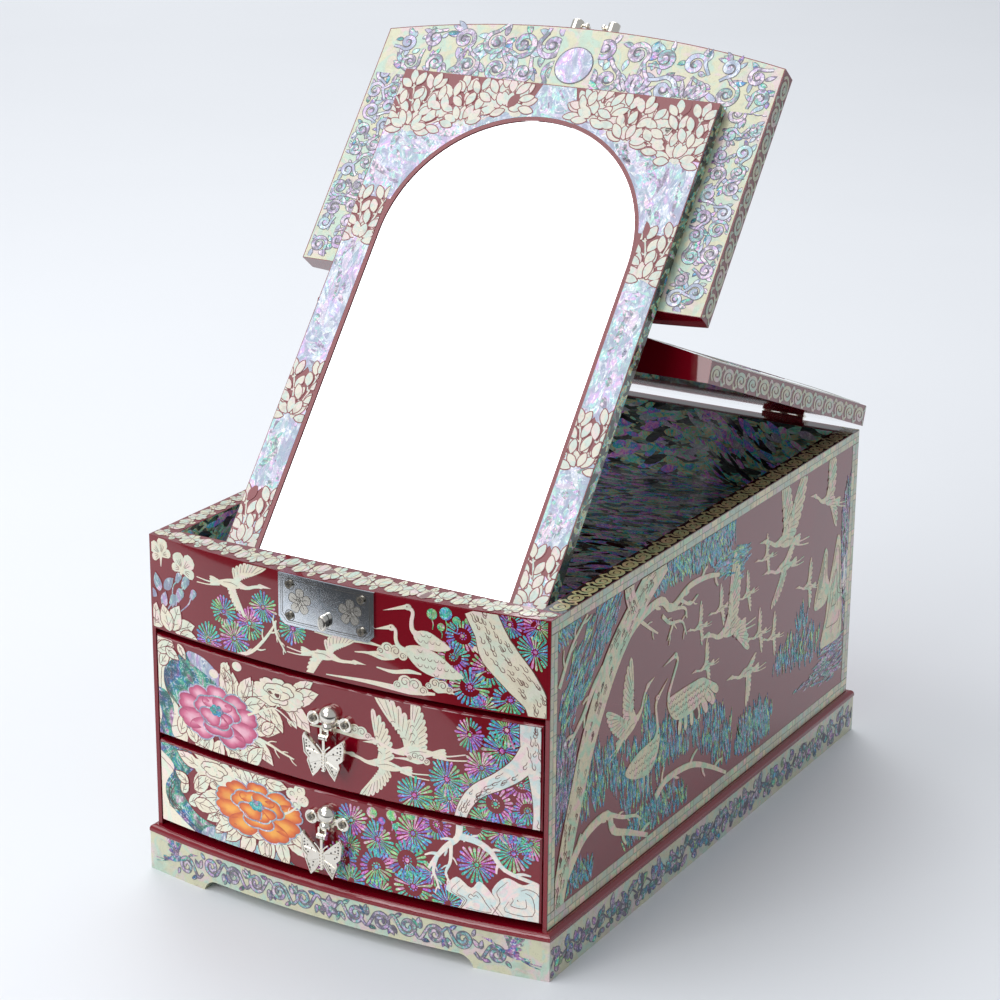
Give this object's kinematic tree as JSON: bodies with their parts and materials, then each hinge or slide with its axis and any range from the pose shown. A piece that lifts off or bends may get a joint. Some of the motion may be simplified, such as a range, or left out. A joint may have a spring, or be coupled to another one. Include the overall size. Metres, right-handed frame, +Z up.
{
  "type": "mother-of-pearl jewelry box",
  "caption": "Lacquered jewellery box with shell inlay, drawers, an open tray and a lid cut across that folds up to stand a mirror panel in the tray.",
  "frame": {"origin": "on the floor, under the centre of the whole footprint with its pulls and hinge barrels", "axes": "+Z up, +X to the right as seen from the front, so the drawers open along -Y"},
  "size_m": [0.2168, 0.3454, 0.3803],
  "materials": {
    "red_lacquer": "deep crimson lacquer, high gloss, over wood",
    "shell_veneer": "mother-of-pearl veneer on wood under clear gloss lacquer",
    "dark_shell": "dark abalone chips under black gloss lacquer",
    "drawer_wood": "dark red satin paint on wood",
    "felt": "red felt",
    "nickel": "bright nickel plate",
    "mirror": "silvered flat glass"
  },
  "bodies": {
    "case": {"back_panel": "red_lacquer", "base_board": "red_lacquer", "body_bottom": "drawer_wood", "drawer_divider": "drawer_wood", "front_rail": "red_lacquer", "lock_plate": "nickel", "lock_screws": "nickel", "plinth_back": "shell_veneer", "plinth_front": "shell_veneer", "plinth_left": "shell_veneer", "plinth_right": "shell_veneer", "rear_hinge_box_screws": "nickel", "rear_hinge_left_box_leaf": "nickel", "rear_hinge_pins": "nickel", "rear_hinge_right_box_leaf": "nickel", "side_left": "red_lacquer", "side_right": "red_lacquer", "tray_floor": "dark_shell"},
    "upper_drawer": {"upper_drawer_back": "drawer_wood", "upper_drawer_bottom": "drawer_wood", "upper_drawer_front": "red_lacquer", "upper_drawer_left": "drawer_wood", "upper_drawer_lining": "felt", "upper_drawer_right": "drawer_wood", "upper_pull_base": "nickel", "upper_pull_pin": "nickel", "upper_pull_screws": "nickel"},
    "lower_drawer": {"lower_drawer_back": "drawer_wood", "lower_drawer_bottom": "drawer_wood", "lower_drawer_front": "red_lacquer", "lower_drawer_left": "drawer_wood", "lower_drawer_lining": "felt", "lower_drawer_right": "drawer_wood", "lower_pull_base": "nickel", "lower_pull_pin": "nickel", "lower_pull_screws": "nickel"},
    "upper_pendant": {"upper_pull_pendant": "nickel"},
    "lower_pendant": {"lower_pull_pendant": "nickel"},
    "rear_leaf": {"fold_hinge_left_rear_leaf": "nickel", "fold_hinge_pins": "nickel", "fold_hinge_rear_screws": "nickel", "fold_hinge_right_rear_leaf": "nickel", "rear_hinge_left_lid_leaf": "nickel", "rear_hinge_lid_screws": "nickel", "rear_hinge_right_lid_leaf": "nickel", "rear_lid": "red_lacquer"},
    "front_leaf": {"fold_hinge_front_screws": "nickel", "fold_hinge_left_front_leaf": "nickel", "fold_hinge_right_front_leaf": "nickel", "front_lid": "red_lacquer", "lid_handle_plate": "nickel", "lid_handle_posts": "nickel", "lid_handle_screws": "nickel", "mirror_bead": "red_lacquer", "mirror_frame": "red_lacquer", "mirror_glass": "mirror"},
    "lid_bail": {"lid_handle_bail": "nickel"},
    "lock_turn": {"lock_knob": "nickel"}
  },
  "joints": [
    {"name": "upper_drawer_slide", "type": "slide", "parent": "case", "child": "upper_drawer", "axis": [0, -1, 0], "range_m": [0, 0.2]},
    {"name": "lower_drawer_slide", "type": "slide", "parent": "case", "child": "lower_drawer", "axis": [0, -1, 0], "range_m": [0, 0.2]},
    {"name": "rear_lid_hinge", "type": "hinge", "parent": "case", "child": "rear_leaf", "pos_m": [0, 0.1701, 0.1699], "axis": [-1, 0, 0], "range_deg": [0, 74.7]},
    {"name": "lid_fold_hinge", "type": "hinge", "parent": "rear_leaf", "child": "front_leaf", "pos_m": [0, -0.01103, 0.25642], "axis": [1, 0, 0], "range_deg": [0, 106.75]},
    {"name": "lock_knob_turn", "type": "hinge", "parent": "case", "child": "lock_turn", "pos_m": [-0.0016, -0.1668, 0.1489], "axis": [0, -1, 0], "range_deg": [0, 90]},
    {"name": "upper_pull_swing", "type": "hinge", "parent": "upper_drawer", "child": "upper_pendant", "pos_m": [0.0002, -0.1713, 0.0962], "axis": [-1, 0, 0], "range_deg": [-10, 85]},
    {"name": "lower_pull_swing", "type": "hinge", "parent": "lower_drawer", "child": "lower_pendant", "pos_m": [-0.0016, -0.1713, 0.0479], "axis": [-1, 0, 0], "range_deg": [-10, 85]},
    {"name": "lid_bail_swing", "type": "hinge", "parent": "front_leaf", "child": "lid_bail", "pos_m": [0, 0.06692, 0.37707], "axis": [1, 0, 0], "range_deg": [0, 200]}
  ],
  "couplings": [
    {"joint": "lid_fold_hinge", "follows": "rear_lid_hinge", "ratio": 1.4284}
  ]
}
